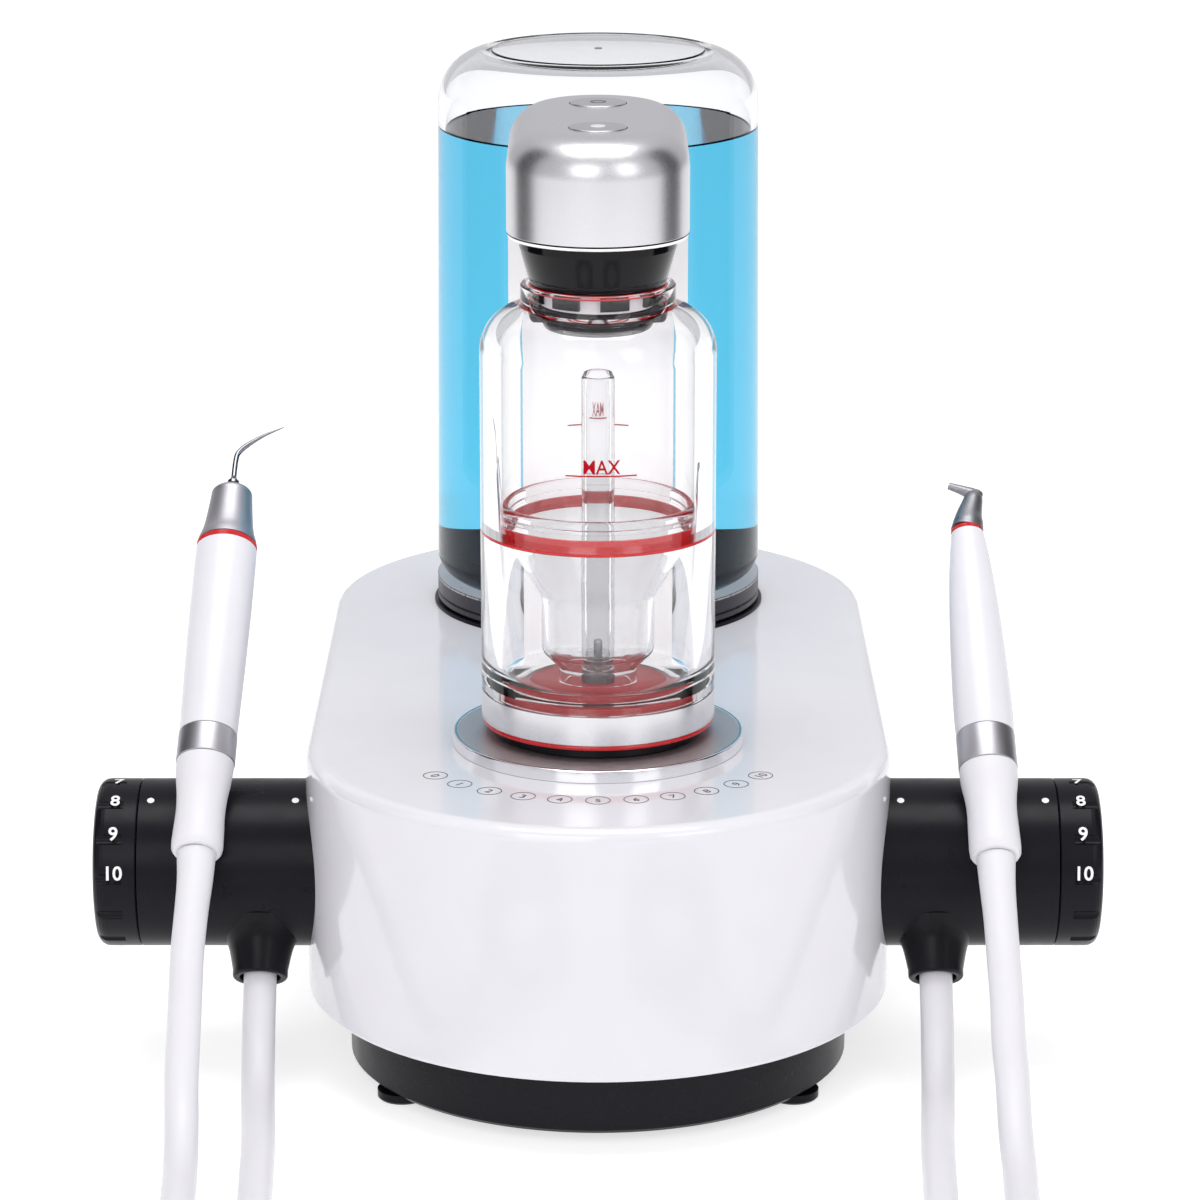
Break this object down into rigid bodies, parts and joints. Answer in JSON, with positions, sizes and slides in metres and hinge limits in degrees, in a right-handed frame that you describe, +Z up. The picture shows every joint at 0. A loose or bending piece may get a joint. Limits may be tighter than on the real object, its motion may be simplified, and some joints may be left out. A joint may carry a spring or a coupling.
{
  "type": "ultrasonic scaler",
  "caption": "Table-top dental prophylaxis unit with ultrasonic scaler and air polisher handpieces, powder chamber, lifting head, water bottle and side control arms.",
  "frame": {"origin": "on the table, under the middle of the housing", "axes": "+Z up, +Y to the back where the bottle stands, +X to the right as seen from the front"},
  "size_m": [0.3046, 0.4893, 0.2454],
  "materials": {
    "housing_white": "glossy moulded",
    "plinth_black": "matt moulded",
    "foot_rubber": "matt",
    "chassis_steel": "plated",
    "screw_steel": "plated",
    "circuit_board": "satin",
    "dock_metal": "satin",
    "magnet_metal": "plated",
    "column_white": "glossy",
    "seat_black": "satin",
    "arm_black": "satin",
    "valve_brass": "machined",
    "gland_black": "satin",
    "supply_metal": "satin",
    "pump_grey": "satin",
    "tube_blue": "clear",
    "inlet_metal": "machined",
    "inlet_blue": "satin",
    "socket_black": "satin",
    "hose_white": "satin silicone",
    "spindle_steel": "machined",
    "tip_steel": "polished",
    "nose_metal": "satin",
    "ring_red": "satin",
    "grip_white": "satin",
    "ring_metal": "satin",
    "boot_white": "satin",
    "ceramic": "matt",
    "nozzle_metal": "satin",
    "head_metal": "satin",
    "head_trim": "satin",
    "post_dark": "satin",
    "lid_black": "glossy",
    "button_metal": "satin",
    "foot_red": "satin",
    "clear_wall": "clear",
    "clear_insert": "clear",
    "bottle_clear": "clear",
    "water_blue": "liquid",
    "cap_grey": "satin"
  },
  "bodies": {
    "root": {"base_plinth": "plinth_black", "rubber_feet": "foot_rubber", "chassis_plate": "chassis_steel", "main_housing": "housing_white", "housing_screws": "screw_steel", "touch_board": "circuit_board", "dock_ring": "dock_metal", "magnets": "magnet_metal", "column": "column_white", "bottle_seat": "seat_black", "left_arm": "arm_black", "right_arm": "arm_black", "left_valve": "valve_brass", "right_valve": "valve_brass", "left_gland": "gland_black", "right_gland": "gland_black", "power_supply": "supply_metal", "drive_board": "circuit_board", "water_pump": "pump_grey", "air_regulator": "valve_brass", "inner_tubing": "tube_blue", "air_inlet": "inlet_metal", "water_inlet": "inlet_blue", "power_inlet": "socket_black", "left_gland_hose": "hose_white", "left_hose_coil": "hose_white", "left_tool_hose": "hose_white", "right_gland_hose": "hose_white", "right_hose_coil": "hose_white", "right_tool_hose": "hose_white"},
    "left_knob": {"left_knob": "arm_black", "left_spindle": "spindle_steel"},
    "right_knob": {"right_knob": "arm_black", "right_spindle": "spindle_steel"},
    "scaler": {"scaler_tip": "tip_steel", "scaler_nose": "nose_metal", "scaler_red_ring": "ring_red", "scaler_grip": "grip_white", "scaler_metal_ring": "ring_metal", "scaler_boot": "boot_white", "piezo_stack": "ceramic"},
    "polisher": {"polisher_nozzle": "nozzle_metal", "polisher_red_ring": "ring_red", "polisher_grip": "grip_white", "polisher_metal_ring": "ring_metal", "polisher_boot": "boot_white"},
    "head": {"head_shell": "head_metal", "head_base": "head_trim", "head_post": "post_dark", "lid_collar": "lid_black", "lid_seal": "ring_red"},
    "front_button": {"front_button": "button_metal"},
    "rear_button": {"rear_button": "button_metal"},
    "chamber": {"chamber_foot": "foot_red", "chamber_lower": "clear_wall", "chamber_upper": "clear_wall", "powder_funnel": "clear_insert"},
    "bottle": {"bottle": "bottle_clear", "bottle_water": "water_blue", "bottle_cap": "cap_grey"}
  },
  "joints": [
    {"name": "left_knob_turn", "type": "hinge", "parent": "root", "child": "left_knob", "pos_m": [-0.1235, -0.0705, 0.0525], "axis": [1, 0, 0], "range_deg": [-54, 216]},
    {"name": "right_knob_turn", "type": "hinge", "parent": "root", "child": "right_knob", "pos_m": [0.1235, -0.0705, 0.0525], "axis": [1, 0, 0], "range_deg": [-54, 216]},
    {"name": "scaler_lift", "type": "slide", "parent": "root", "child": "scaler", "axis": [0, -0.6561, 0.7547], "range_m": [0, 0.03]},
    {"name": "polisher_lift", "type": "slide", "parent": "root", "child": "polisher", "axis": [0, -0.6561, 0.7547], "range_m": [0, 0.03]},
    {"name": "head_raise", "type": "slide", "parent": "root", "child": "head", "axis": [0, 0, 1], "range_m": [0, 0.022]},
    {"name": "front_button_press", "type": "slide", "parent": "head", "child": "front_button", "axis": [0, 0, -1], "range_m": [0, 0.0008], "stiffness_N_per_m": 400, "springref_m": -0.001},
    {"name": "rear_button_press", "type": "slide", "parent": "head", "child": "rear_button", "axis": [0, 0, -1], "range_m": [0, 0.0008], "stiffness_N_per_m": 400, "springref_m": -0.001},
    {"name": "chamber_turn", "type": "hinge", "parent": "root", "child": "chamber", "pos_m": [0, -0.0705, 0.09], "axis": [0, 0, 1], "range_deg": [0, 60]},
    {"name": "bottle_lift", "type": "slide", "parent": "root", "child": "bottle", "axis": [0, 0, 1], "range_m": [0, 0.04]}
  ]
}
